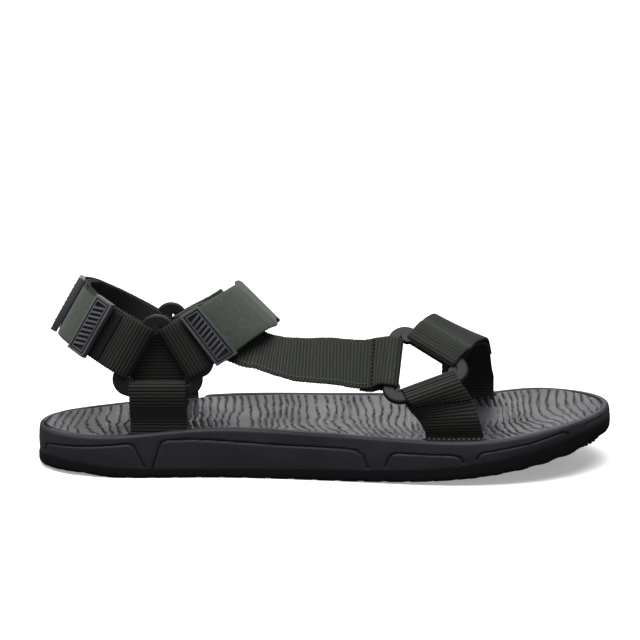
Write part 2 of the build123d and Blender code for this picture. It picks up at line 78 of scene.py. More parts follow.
def length_of(name, description, millimetres):
    return FloatProperty(name=name, description=description, default=millimetres * MM, unit="LENGTH")


def colour_of(name, description, value):
    return FloatVectorProperty(name=name, description=description, subtype="COLOR", default=value, min=0, max=1)


class SandalSizes(PropertyGroup):
    rib_pitch: length_of("Rib pitch", "Distance between the webbing's cross ribs", 1.65)
    rib_depth: length_of("Rib depth", "How far the webbing dips between two ribs", 0.4)
    contour_pitch: length_of("Contour pitch", "Usual distance between two contour lines of the footbed", 4.1)
    contour_depth: length_of("Contour depth", "Depth of the footbed's contour lines", 0.75)
    panel_depth: length_of("Panel line depth", "Depth of the grooves round the panels of the side wall", 0.7)
    rim_round: length_of("Rim rounding", "Radius of the side wall's rounded top edge", 2.0)


class SandalColours(PropertyGroup):
    webbing: colour_of("Ribbed webbing", "Colour of the rib crests", (0.021, 0.025, 0.019))
    brushed: colour_of("Brushed webbing", "Colour of the smooth straps' pile", (0.072, 0.084, 0.071))
    sidewall: colour_of("Side wall", "Colour of the foam side wall", (0.020, 0.021, 0.027))
    footbed: colour_of("Footbed", "Colour of the footbed foam", (0.036, 0.037, 0.043))
    outsole: colour_of("Outsole", "Colour of the tread rubber", (0.005, 0.0053, 0.006))
    ring: colour_of("Rings", "Colour of the moulded rings", (0.011, 0.0115, 0.0145))
    tab: colour_of("Pull tabs", "Colour of the moulded pull tabs", (0.080, 0.083, 0.095))


# ---- materials ----
class Finish:
    """A new material of a colour, and short ways to add its nodes."""

    def __init__(self, name, colour):
        self.colour = colour
        self.material = bpy.data.materials.new(name)
        self.material.use_nodes = True
        self.nodes = self.material.node_tree.nodes
        self.links = self.material.node_tree.links
        self.shader = self.nodes["Principled BSDF"]

    def feed(self, socket, value):
        if isinstance(value, bpy.types.NodeSocket):
            self.links.new(value, socket)
        elif socket.type == "RGBA":
            socket.default_value = (*value[:3], 1)
        else:
            socket.default_value = value

    def node(self, kind, inputs=None, **settings):
        made = self.nodes.new("ShaderNode" + kind)
        for key, value in settings.items():
            setattr(made, key, value)
        for key, value in (inputs or {}).items():
            self.feed(made.inputs[key], value)
        return made

    def place(self, scale=(1, 1, 1), on_strap=False):
        """Each point's place in the object, or in a strap's own map, where 1 stands for 100 mm across or along."""
        if on_strap:
            found = self.node("UVMap", uv_map="strap").outputs["UV"]
        else:
            found = self.node("TexCoord").outputs["Object"]
        return self.node("Mapping", {"Vector": found, "Scale": scale}).outputs["Vector"]

    def wave(self, period, direction, distortion=0.0, detail_scale=1.0):
        """A wave over a strap's map, with its period in metres."""
        inputs = {"Vector": self.place(on_strap=True), "Scale": 2 * math.pi / (20 * period * 10),
                  "Distortion": distortion, "Detail Scale": detail_scale}
        return self.node("TexWave", inputs, bands_direction=direction).outputs["Fac"]

    def maths(self, operation, a, b):
        return self.node("Math", {0: a, 1: b}, operation=operation).outputs[0]

    def add(self, first, second, share):
        return self.maths("ADD", first, self.maths("MULTIPLY", second, share))

    def noise(self, scale, detail=2.0, roughness=0.5, place=None):
        inputs = {"Vector": place or self.place(), "Scale": scale, "Detail": detail, "Roughness": roughness}
        return self.node("TexNoise", inputs).outputs["Fac"]

    def spread(self, value, low, high, new_low=0.0, new_high=1.0):
        inputs = {"Value": value, "From Min": low, "From Max": high, "To Min": new_low, "To Max": new_high}
        return self.node("MapRange", inputs).outputs["Result"]

    def tint(self, base, over, by, low, high, least=0.0, most=1.0):
        """A base with over on it, by a share that goes from least to most as by goes from low to high.

        A number for base or over stands for that much of the finish's colour."""
        made = self.node("Mix", data_type="RGBA")
        self.feed(made.inputs[0], self.spread(by, low, high, least, most))
        for index, value in ((6, base), (7, over)):
            self.feed(made.inputs[index], scaled(self.colour, value) if isinstance(value, (int, float)) else value)
        return made.outputs[2]

    def bump(self, height, distance, strength):
        return self.node("Bump", {"Height": height, "Distance": distance, "Strength": strength}).outputs["Normal"]

    def set(self, **sockets):
        names = {"color": "Base Color", "roughness": "Roughness", "normal": "Normal", "sheen": "Sheen Weight",
                 "sheen_roughness": "Sheen Roughness", "specular": "Specular IOR Level"}
        for key, value in sockets.items():
            self.feed(self.shader.inputs[names[key]], value)
        return self.material


def scaled(colour, amount):
    return tuple(min(1.0, c * amount) for c in colour)


def ribbed_webbing(name, colour, pitch):
    finish = Finish(name, colour)
    rib = finish.wave(pitch, "Y")
    yarn = finish.wave(0.62 * MM, "X", 0.6, 3.0)
    streaks = finish.noise(1.0, 3, place=finish.place((7, 62, 1), on_strap=True))
    patches = finish.noise(38, 3)
    fuzz = finish.noise(2600, 2)
    # Painted light and shade: in the rib valleys the colour falls to 0.12 of the webbing colour, painted shade, and
    # on the rib crests it rises to 1.25, painted highlight.
    base = finish.tint(0.12, 1.25, rib, 0.1, 0.9)
    base = finish.tint(base, 1.1, streaks, 0.4, 0.75, 0, 0.5)
    base = finish.tint(base, 0.4, yarn, 0.0, 1.0, 0.28, 0.0)
    base = finish.tint(base, 0.6, patches, 0.3, 0.7, 0.25, 0)
    normal = finish.bump(finish.add(finish.maths("MULTIPLY", yarn, 0.6), fuzz, 0.5), 0.16 * MM, 0.8)
    rough = finish.spread(streaks, 0.3, 0.7, 0.68, 0.86)
    return finish.set(color=base, roughness=rough, normal=normal, sheen=0.06, sheen_roughness=0.4, specular=0.3)


def brushed_webbing(name, colour):
    finish = Finish(name, colour)
    pile = finish.noise(1500, 4, 0.7)
    clumps = finish.noise(420, 3, 0.6)
    wear = finish.noise(45, 3)
    weave = finish.wave(0.9 * MM, "Y", 1.5, 2.0)
    base = finish.tint(0.6, 1.35, pile, 0.3, 0.7)
    base = finish.tint(base, 0.55, clumps, 0.35, 0.65, 0.35, 0)
    base = finish.tint(base, 0.75, wear, 0.35, 0.75, 0.25, 0)
    normal = finish.bump(finish.add(finish.add(pile, clumps, 1.2), weave, 0.25), 0.22 * MM, 0.8)
    return finish.set(color=base, roughness=0.93, normal=normal, sheen=0.12, sheen_roughness=0.5, specular=0.15)


def tape_pile(name, colour, grain):
    finish = Finish(name, colour)
    tufts = finish.node("TexVoronoi", {"Vector": finish.place(), "Scale": grain}).outputs["Distance"]
    shade = finish.noise(300, 2)
    base = finish.tint(1, 0.35, tufts, 0.1, 0.7)
    base = finish.tint(base, 0.6, shade, 0.3, 0.7, 0.3, 0)
    normal = finish.bump(tufts, 0.3 * MM, 0.9)
    return finish.set(color=base, roughness=0.9, normal=normal, sheen=0.1, sheen_roughness=0.5, specular=0.2)


def moulded(name, colour, rough, grain=900, speckle=0.15, specular=0.5):
    """Foam, rubber or plastic from a mould: a fine skin, with soft cloudy changes of shade, and a painted highlight
    on its sharp edges.
    """
    finish = Finish(name, colour)
    skin = finish.noise(grain, 3, 0.6)
    cloud = finish.noise(24, 3)
    fine = finish.noise(grain * 3.1, 2)
    edge = finish.node("NewGeometry").outputs["Pointiness"]
    base = finish.tint(0.9, 1.1, cloud, 0.3, 0.7)
    base = finish.tint(base, 1.9, fine, 0.45, 0.75, 0, speckle)
    # Painted highlight: sharp convex edges, found by their pointiness, are lightened towards 1.8 times the colour.
    base = finish.tint(base, 1.8, edge, 0.51, 0.58, 0, 0.35)
    normal = finish.bump(finish.add(skin, fine, 0.5), 0.08 * MM, 0.7)
    gloss = finish.spread(cloud, 0.3, 0.7, rough - 0.05, rough + 0.06)
    return finish.set(color=base, roughness=gloss, normal=normal, specular=specular)


def grooved(name, colour, rough, dark):
    """A moulded finish whose cut lines, held in the piece's own groove attribute, are darker: painted shade in its
    grooves and hollows.
    """
    finish = Finish(name, colour)
    groove = finish.node("Attribute", attribute_name="groove").outputs["Fac"]
    skin = finish.noise(1100, 3, 0.6)
    cloud = finish.noise(60, 4, place=finish.place((1, 0.5, 1)))
    fine = finish.noise(3300, 2)
    base = finish.tint(0.82, 1.15, cloud, 0.3, 0.7)
    base = finish.tint(base, 1.8, fine, 0.45, 0.75, 0, 0.2)
    # Painted shade: where the groove attribute is marked, the colour falls towards dark times the colour.
    base = finish.tint(base, dark, groove, 0.15, 0.85)
    normal = finish.bump(finish.add(skin, fine, 0.6), 0.1 * MM, 0.7)
    gloss = finish.spread(cloud, 0.3, 0.7, rough - 0.08, rough + 0.08)
    return finish.set(color=base, roughness=gloss, normal=normal, specular=0.32)


# ---- shared ways to make a piece ----
def select_only(piece):
    bpy.ops.object.select_all(action="DESELECT")
    piece.hide_set(False)
    piece.select_set(True)
    bpy.context.view_layer.objects.active = piece


def settle(piece, name, material, slot, body, *nodes):
    """Names a finished piece, gives it its finish and lets it move with its body, in place of its CAD nodes."""
    piece.name = name
    piece.data.name = name
    piece.data.materials.clear()
    piece.data.materials.append(material)
    if nodes:
        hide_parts(*nodes)
    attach(piece, body)


def smooth(piece, angle):
    select_only(piece)
    bpy.ops.object.shade_smooth_by_angle(angle=math.radians(angle))


def clean(piece, gap=None, close=None, outward=True):
    """Merges points within a gap, closes the open edges with close, and turns every face outward."""
    select_only(piece)
    bpy.ops.object.mode_set(mode="EDIT")
    bpy.ops.mesh.select_all(action="SELECT")
    if gap:
        bpy.ops.mesh.remove_doubles(threshold=gap)
    if close:
        bpy.ops.mesh.select_all(action="DESELECT")
        bpy.ops.mesh.select_mode(type="EDGE")
        bpy.ops.mesh.select_non_manifold(extend=False)
        close()
        bpy.ops.mesh.select_all(action="SELECT")
    if outward:
        bpy.ops.mesh.normals_make_consistent(inside=False)
    bpy.ops.object.mode_set(mode="OBJECT")


def join(pieces):
    """Joins every piece to the first."""
    select_only(pieces[0])
    for piece in pieces:
        piece.select_set(True)
    bpy.ops.object.join()
    return pieces[0]


def unit(vectors):
    return vectors / np.linalg.norm(vectors, axis=-1, keepdims=True)


def marks_along(points):
    """The distance of each point along the line through all of them."""
    return np.concatenate([[0], np.cumsum(np.linalg.norm(np.diff(points, axis=0), axis=1))])


def points_of(mesh):
    flat = np.empty(len(mesh.vertices) * 3)
    mesh.vertices.foreach_get("co", flat)
    return flat.reshape(-1, 3)


def grid_object(points):
    """A new grid whose points are moved to an array of rows and columns, with each vertex's row and column."""
    rows, columns = points.shape[:2]
    bpy.ops.mesh.primitive_grid_add(x_subdivisions=rows - 1, y_subdivisions=columns - 1, size=2)
    piece = bpy.context.object
    flat = points_of(piece.data)
    row = np.rint((flat[:, 0] + 1) / 2 * (rows - 1)).astype(int)
    column = np.rint((flat[:, 1] + 1) / 2 * (columns - 1)).astype(int)
    piece.data.vertices.foreach_set("co", points[row, column].ravel())
    piece.data.update()
    return piece, row, column


def woven_grid(points, across, along):
    """A capped tube from rows of points along it, with the strap map."""
    piece, row, column = grid_object(points)
    mesh = piece.data
    corner = np.empty(len(mesh.loops), int)
    mesh.loops.foreach_get("vertex_index", corner)
    marks = np.stack([across[column[corner]], along[row[corner]]], 1) * 10
    mesh.uv_layers[0].name = "strap"
    mesh.uv_layers[0].data.foreach_set("uv", marks.ravel())
    clean(piece, MERGE, close=lambda: bpy.ops.mesh.fill_holes(sides=0))
    smooth(piece, 65)
    return piece


def mark_groove_shade(piece, depth):
    # The groove attribute holds where the finish paints shade into grooves and hollows.
    marks = piece.data.attributes.new("groove", "FLOAT", "POINT")
    marks.data.foreach_set("value", depth.astype(np.float32))


def grooved_grid(points, depth, **cleaning):
    """A sheet with its grooves' depths marked on it for painted groove shade, cleaned up."""
    piece, row, column = grid_object(points)
    mark_groove_shade(piece, depth[row, column])
    clean(piece, **cleaning)
    return piece


def ring_grid(rows, depths):
    """A closed ring from lines round the sole, in order round its cross-section, with their grooves' depths, marked
    for painted groove shade.
    """
    points, depth = (np.stack([*lines, lines[0]], 1) for lines in (rows, depths))
    return grooved_grid(np.concatenate([points, points[:1]]), np.concatenate([depth, depth[:1]]), gap=MERGE / 2)


def cad_copy(node, angle):
    """A copy of a CAD node, its loose triangles merged and its faces smoothed up to an angle."""
    piece = NODES[node].copy()
    piece.data = NODES[node].data.copy()
    for key in list(piece.keys()):
        del piece[key]
    bpy.context.scene.collection.objects.link(piece)
    piece.parent = None
    piece.hide_render = False
    piece.hide_viewport = False
    clean(piece, MERGE, outward=False)
    smooth(piece, angle)
    return piece


@cache
def tree_of(node):
    mesh = NODES[node].data
    return BVHTree.FromPolygons([v.co.copy() for v in mesh.vertices], [tuple(p.vertices) for p in mesh.polygons])


# ---- strap lines, read from the CAD straps ----
def walk(corner, edge, sharp):
    """The vertices from a corner along a sharp line to the next corner."""
    line = [corner]
    vertex = edge.other_vert(corner)
    while True:
        line.append(vertex)
        if len(sharp[vertex]) == 3:
            return line
        way = vertex.co - line[-2].co
        edge = max((e for e in sharp[vertex] if e is not edge),
                   key=lambda e: way.dot((e.other_vert(vertex).co - vertex.co).normalized()))
        vertex = edge.other_vert(vertex)


def line_length(points):
    return sum((b - a).length for a, b in zip(points, points[1:]))


def strap_stations(node):
    """Middle points and half-width vectors along a strap, from its solid's four long corner lines."""
    mesh = bmesh.new()
    mesh.from_mesh(NODES[node].data)
    bmesh.ops.remove_doubles(mesh, verts=mesh.verts, dist=MERGE * 2)
    sharp = {}
    for edge in mesh.edges:
        if len(edge.link_faces) == 2 and edge.calc_face_angle() > 1.0:
            for vertex in edge.verts:
                sharp.setdefault(vertex, []).append(edge)
    corners = [v for v, ways in sharp.items() if len(ways) == 3]
    if len(corners) != 8:
        raise RuntimeError(f"{node} has {len(corners)} corners, so it isn't a plain strap")
    ways = {}
    for corner in corners:
        found = []
        for edge in sharp[corner]:
            line = walk(corner, edge, sharp)
            found.append((line_length([v.co for v in line]), line))
        found.sort(key=lambda item: item[0])
        thick, rest = found[0][1], found[1:]
        wide = min(rest, key=lambda item: min(abs(item[0] - width) + (len(item[1]) > 2) for width in STRAP_WIDTHS))
        long = [item for item in rest if item is not wide][0]
        ways[corner] = (thick[-1], wide[1][-1], [v.co.copy() for v in long[1]])
    first = corners[0]
    under, opposite, _ = ways[first]
    left, left_under, right, right_under = (
        np.array(ways[corner][2]) for corner in (first, under, opposite, ways[under][1]))
    thickness = (first.co - under.co).length
    mesh.free()
    return (left + left_under + right + right_under) / 4, (right + right_under - left - left_under) / 4, thickness


class StrapLine:
    """A smooth line along one or more CAD straps, with the direction of the strap's width at each place."""

    def __init__(self, *nodes):
        middle, half, self.thickness = strap_stations(nodes[0])
        for node in nodes[1:]:
            more, more_half, _ = strap_stations(node)
            gaps = [np.linalg.norm(middle[i] - more[j]) for i, j in ((-1, 0), (-1, -1), (0, 0), (0, -1))]
            best = int(np.argmin(gaps))
            if best >= 2:
                middle, half = middle[::-1], half[::-1]
            if best % 2:
                more, more_half = more[::-1], more_half[::-1]
            if more_half[0] @ half[-1] < 0:
                more_half = -more_half
            first = 1 if np.linalg.norm(middle[-1] - more[0]) < 0.9 * MM else 0
            middle, half = np.concatenate([middle, more[first:]]), np.concatenate([half, more_half[first:]])
        self.points, self.halves = middle, half
        self.width = 2 * np.linalg.norm(half[0])
        self.marks = marks_along(middle)
        self.length = self.marks[-1]
        self.slopes = unit(np.gradient(middle, self.marks, axis=0))

    def flip(self):
        self.points, self.halves, self.slopes = self.points[::-1], self.halves[::-1], -self.slopes[::-1]
        self.marks = self.length - self.marks[::-1]

    def at(self, s):
        """Middle, width direction, face direction and along direction at each distance of s."""
        s = np.atleast_1d(np.asarray(s, float))
        inside = np.clip(s, 0, self.length)
        k = np.clip(np.searchsorted(self.marks, inside, side="right") - 1, 0, len(self.marks) - 2)
        gap = self.marks[k + 1] - self.marks[k]
        t = ((inside - self.marks[k]) / gap)[:, None]
        a, b = self.points[k], self.points[k + 1]
        va, vb = self.slopes[k] * gap[:, None], self.slopes[k + 1] * gap[:, None]
        place = ((2 * t ** 3 - 3 * t ** 2 + 1) * a + (t ** 3 - 2 * t ** 2 + t) * va
                 + (3 * t ** 2 - 2 * t ** 3) * b + (t ** 3 - t ** 2) * vb)
        along = unit((6 * t ** 2 - 6 * t) * (a - b) + (3 * t ** 2 - 4 * t + 1) * va + (3 * t ** 2 - 2 * t) * vb)
        across = unit(self.halves[k] * (1 - t) + self.halves[k + 1] * t)
        return place + along * (s - inside)[:, None], across, unit(np.cross(along, across)), along

    def fold(self):
        """Where the strap turns back round a ring's bar."""
        places = np.arange(6 * MM, self.length - 6 * MM, 0.5 * MM)
        turn = (self.at(places + 5.5 * MM)[3] * self.at(places - 5.5 * MM)[3]).sum(1)
        if turn.min() > -0.8:
            raise RuntimeError("this strap has no fold")
        return places[int(np.argmin(turn))]

    def nearest(self, point):
        """The distance along the strap at which it comes nearest to a point."""
        places = np.arange(0, self.length, 0.25 * MM)
        return places[int(np.argmin(np.linalg.norm(self.at(places)[0] - np.array(point), axis=1)))]


def soft_noise(places, seed, size):
    return np.array([noise.noise(Vector((p / size, seed * 7.31, 0.5))) for p in places])


def band(line, pitch, depth, end=None, start=0.0, seed=1):
    """The webbing itself: ribs across it every pitch, dipping depth between them, and beaded edges."""
    end = line.length if end is None else end
    count = max(8, int(round((end - start) / pitch * 6)))
    s = np.linspace(start, end, count + 1)
    place, across, face, _ = line.at(s)
    half, thick = line.width / 2, line.thickness / 2
    wave = np.abs(np.sin(np.pi * s / pitch)) ** 0.55
    wave = wave * (1 + 0.25 * soft_noise(s, seed, 2.3 * MM))
    dip = depth * (1 - np.clip(wave, 0, 1))
    edge_in = dip * 1.1 + 0.12 * MM * (soft_noise(s, seed + 3, 3.1 * MM) + 0.6).clip(0)
    side = [(x, 1.0) for x in np.linspace(-1, 1, 9) * (half - 0.9 * MM)]
    side += [(half - inset * MM, y) for inset, y in ((0.35, 0.82), (0.05, 0.25), (0.05, -0.25), (0.35, -0.82))]
    profile = np.array(side + [(-x, -y) for x, y in side] + side[:1])
    out = np.sign(profile[:, 0]) * (np.abs(profile[:, 0]) > half - 0.6 * MM)
    x = profile[None, :, 0] - out[None, :] * edge_in[:, None]
    y = profile[None, :, 1] * (thick - dip[:, None])
    points = place[:, None] + across[:, None] * x[..., None] + face[:, None] * y[..., None]
    return woven_grid(points, marks_along(profile * [1, thick]) - half, s)


# ---- the sole ----
def eased(values, times):
    """A closed run of values, each time smoothed between neighbours."""
    for _ in range(times):
        values = values * 0.5 + (np.roll(values, 1, 0) + np.roll(values, -1, 0)) * 0.25
    return values


def sole_outline(tree, height):
    """Points of the sole's outline at a height, evenly spaced, from the heel's middle anticlockwise."""
    rays, count = 1440, 900
    found = []
    for k in range(rays):
        angle = math.pi + 2 * math.pi * k / rays
        way = Vector((math.cos(angle), math.sin(angle), 0))
        hit = tree.ray_cast(Vector((0, 0, height(way))) + way * 0.4, -way)
        found.append(hit[0][:2])
    loop = eased(np.array(found), 6)
    closed = np.concatenate([loop, loop[:1]])
    marks = marks_along(closed)
    even = np.linspace(0, marks[-1], count, endpoint=False)
    outline = np.stack([np.interp(even, marks, closed[:, i]) for i in (0, 1)], 1)
    along = unit(np.roll(outline, -3, 0) - np.roll(outline, 3, 0))
    return outline, np.stack([-along[:, 1], along[:, 0]], 1), even


def drop(tree, x, y, down=True):
    """The height at which a vertical ray meets a CAD piece, or None."""
    start, way = (0.2, -1) if down else (-0.1, 1)
    hit = tree.ray_cast(Vector((x, y, start)), Vector((0, 0, way)))[0]
    return None if hit is None else hit.z


def filled(values):
    """A closed run of heights with its gaps filled from their neighbours, and small steps smoothed out."""
    values = np.array([np.nan if v is None else v for v in values], float)
    known = ~np.isnan(values)
    index = np.arange(len(values))
    return eased(np.interp(index, index[known], values[known], period=len(values)), 12)


# Grooves of the side wall's panels: along the side in mm from the middle of the sole, and share of the wall's height.
PANELS = [
    [(-140.7, 0.16), (-140.1, 0.40), (-138.5, 0.46), (-127.9, 0.54), (-118, 0.62), (-108.4, 0.69), (-97.5, 0.74),
     (-95.3, 0.70), (-93.5, 0.60), (-91.7, 0.37), (-88.8, 0.02)],
    [(-85.1, 0.02), (-83.5, 0.29), (-81.8, 0.6), (-80.6, 0.72), (-78, 0.77), (-66.5, 0.75), (-41.9, 0.66),
     (-17.3, 0.62), (9.6, 0.61), (14.5, 0.59), (18.4, 0.44), (20.8, 0.04)],
    [(29, 0.1), (30.5, 0.35), (32.4, 0.5), (35, 0.54), (48.2, 0.52), (61, 0.47), (65, 0.38), (67, 0.12)],
    [(73.3, 0.17), (74.2, 0.37), (76.6, 0.47), (86.9, 0.5), (100.3, 0.5), (109.5, 0.58), (115.5, 0.62), (118.3, 0.55),
     (119.7, 0.3)],
    [(128.3, 0.3), (129.5, 0.6), (131.8, 0.72), (138.8, 0.7), (143, 0.82)],
]
# The line between side wall and outsole: x and height in mm.
BOND = [(-148, 5.8), (-141, 7.8), (-135, 8.0), (-121, 6.9), (-108.5, 5.6), (-90, 4.8), (-62, 4.7), (-20, 5.3),
        (22, 6.5), (46, 7.9), (64, 9.9), (84.5, 13.0), (107.5, 17.4), (120, 20.2), (130.5, 22.2), (138, 23.2),
        (144, 24.0), (149, 24.2)]


def groove_depth(x, v, run):
    """How deep in a panel's groove each place of the wall is, from 0 to 1. x is in mm and v a share of the height."""
    depth = np.zeros_like(x)
    for panel in PANELS:
        for (x0, v0), (x1, v1) in zip(panel, panel[1:]):
            px, pv = x - x0, (v - v0) * run
            dx, dv = x1 - x0, (v1 - v0) * run
            t = np.clip((px * dx + pv * dv) / (dx * dx + dv * dv), 0, 1)
            away = np.hypot(px - t * dx, pv - t * dv)
            depth = np.maximum(depth, np.clip(1.5 - away / 0.45, 0, 1))
    return depth


class SoleEdge:
    """The sole's outline with the heights of its rim, side wall and tread at each place round it."""

    def __init__(self):
        midsole, outsole, footbed = (tree_of(node) for node in ("midsole", "outsole", "footbed"))
        self.outline, self.inward, self.even = sole_outline(
            midsole, lambda way: 0.017 + max(0.0, way.x) ** 6 * 0.0104)
        self.top = filled([drop(midsole, *p) for p in self.outline + self.inward * 0.8 * MM])
        inner = self.outline + self.inward * 3.9 * MM
        self.rim = filled([drop(midsole, *p) or drop(footbed, *p) for p in inner])
        bond = np.array(BOND) * MM
        self.bond = eased(np.interp(self.outline[:, 0], bond[:, 0], bond[:, 1]), 20)
        low = filled([drop(outsole, *p, down=False) for p in self.outline + self.inward * 2 * MM])
        self.ground = filled(np.min([np.roll(low, step) for step in range(-4, 5)], axis=0))
        self.ground += self.lift(self.outline[:, 0])

    @staticmethod
    def lift(x):
        """The heel's underside starts to rise a little before its end."""
        return 1.5 * MM * np.clip((-107 * MM - x) / (13 * MM), 0, 1) * np.clip((150 * MM + x) / (24 * MM), 0, 1)


@cache
def sole_edge():
    return SoleEdge()


class Step:
    """One step of the build, with a button in the panel."""

    def execute(self, context):
        self.build(context.scene.sandal_sizes, context.scene.sandal_colours)
        return {"FINISHED"}


class SANDAL_OT_outsole(Step, Operator):
    """Dark tread rubber under the whole sole: a smooth outer kerb round chevron grooves, with a fine toothed toe"""
    bl_idname = "sandal.outsole"
    bl_label = "Outsole"

    def build(self, sizes, colours):
        edge = sole_edge()
        field = cad_copy("outsole", 40)
        for vertex in field.data.vertices:
            x, y, z = vertex.co
            z += float(edge.lift(x)) * max(0.0, 1 - z / (6 * MM))
            vertex.co = (x * 0.993, y * 0.988, z + 0.05 * MM)
        x = edge.outline[:, 0]
        teeth = 0.5 + 0.5 * np.sin(edge.even / (3.3 * MM) * 2 * math.pi)
        teeth = np.clip(teeth * 3 - 1, 0, 1) * np.clip((x - 126 * MM) / (6 * MM), 0, 1)
        notch = np.exp(-((x + 139.2 * MM) / (1.1 * MM)) ** 2)
        rows = []
        for inset, level, cut in ((-0.2, 1.0, 0.0), (-0.25, 0.8, 0.0), (-0.3, 0.6, 0.15), (-0.3, 0.42, 0.5),
                                  (-0.25, 0.25, 1.0), (0.0, 0.12, 1.3), (0.45, 0.03, 1.3), (1.1, 0.0, 1.2),
                                  (3.4, 0.0, 0.2), (3.9, 0.1, 0.0), (4.0, 0.5, 0.0), (4.0, 1.0, 0.0)):
            depth = inset * MM + cut * (0.62 * MM * teeth + 0.5 * MM * notch)
            z = edge.ground + (edge.bond - edge.ground) * level + cut * 0.45 * MM * (teeth + notch)
            rows.append(np.column_stack([edge.outline + edge.inward * depth[:, None], z]))
        kerb = ring_grid(rows, [np.zeros(len(x))] * len(rows))
        smooth(kerb, 45)
        piece = join([kerb, field])
        rubber = moulded("tread_rubber", colours.outsole, 0.75, 700, 0.05, 0.15)
        settle(piece, "outsole_tread", rubber, "outsole_rubber", ROOT, "outsole")


class SANDAL_OT_midsole(Step, Operator):
    """Foam side wall with a rounded rim and grooved panels, the full way round the sole"""
    bl_idname = "sandal.midsole"
    bl_label = "Midsole"

    def build(self, sizes, colours):
        edge = sole_edge()
        outline, inward, low, top, rim = edge.outline, edge.inward, edge.bond, edge.top, edge.rim
        midsole = tree_of("midsole")
        radius, belly, inner = sizes.rim_round, 0.35 * MM, 3.75 * MM
        height = top - low
        rows, depths = [], []

        def add(inset, z, depth=0.0):
            """Adds a line round the sole, inset from its outline, with its share of painted groove shade."""
            rows.append(np.column_stack([outline + inward * (inset + 0 * top)[:, None], z]))
            depths.append(depth + 0 * top)

        for share in np.linspace(0, 1, 30):
            z = low + (height - radius) * share
            groove = groove_depth(outline[:, 0] / MM, (z - low) / height, height / MM)
            # The panel groove sets both the line's inset and its painted shade.
            add(belly - belly * math.sin(math.pi * share) + groove * sizes.panel_depth, z, groove)
        for k in range(1, 7):
            angle = math.pi / 2 * k / 6
            add(belly + radius * (1 - math.cos(angle)), top - radius + radius * math.sin(angle))
        for share in np.linspace(0.25, 1, 5):
            inset = belly + radius + (inner - belly - radius) * share
            z = top + (rim - top) * share
            if share > 0.3:
                found = [drop(midsole, *p) for p in outline + inward * inset]
                hollow = np.array([f is None or f < level - 2.5 * MM for f, level in zip(found, z)])
                z = np.where(hollow, z - 4 * MM, z)
            add(inset, z)
        # Painted shade: the line under the rim is marked at 0.3 for a faint painted seam shade, and the inner wall
        # down into the sole is marked in full for painted shade.
        add(4.0 * MM, rim - 0.7 * MM, 0.3)
        add(4.2 * MM, rim - 2.5 * MM, 1)
        add(4.2 * MM, low, 1)
        piece = ring_grid(rows, depths)
        smooth(piece, 50)
        foam = grooved("side_wall_foam", colours.sidewall, 0.56, 0.3)
        settle(piece, "midsole_wall", foam, "midsole_foam", ROOT, "midsole")


def contours(x, y, pitch):
    """The footbed's contour lines: how deep in a line each place is, and its share of the way to the next line."""
    def waves(long, wide, layer):
        return noise.noise(Vector((px / (long * MM) + 3.3, py / (wide * MM) + 1.7, layer + 4.1)))

    level = np.empty_like(x)
    weight = np.empty_like(x)
    for index in np.ndindex(x.shape):
        px, py = x[index], y[index]
        near = min(1.0, max(0.0, 0.32 - py / 0.060))
        level[index] = (px / pitch + 1.9 * waves(60, 75, 0) + 1.25 * waves(26, 50, 3)
                        + (0.34 + 0.30 * near) * waves(13, 20, 5)
                        + (0.07 + 0.42 * near) * waves(8.5, 6.2, 6) - 0.5 * max(0.0, -py - 0.012) / 0.010)
        weight[index] = 0.75 + 0.9 * waves(11, 14, 9)
    gx = np.gradient(level, axis=0) / np.maximum(np.gradient(x, axis=0), 1e-6)
    gy = np.gradient(level, axis=1) / np.maximum(np.gradient(y, axis=1), 1e-6)
    slope = np.hypot(gx, gy)
    nearest = np.abs(level - np.rint(level)) / np.maximum(slope, 70)
    line = np.clip(1.35 - nearest / (np.clip(weight, 0.45, 1.5) * 0.72 * MM), 0, 1)
    return line, level - np.floor(level)


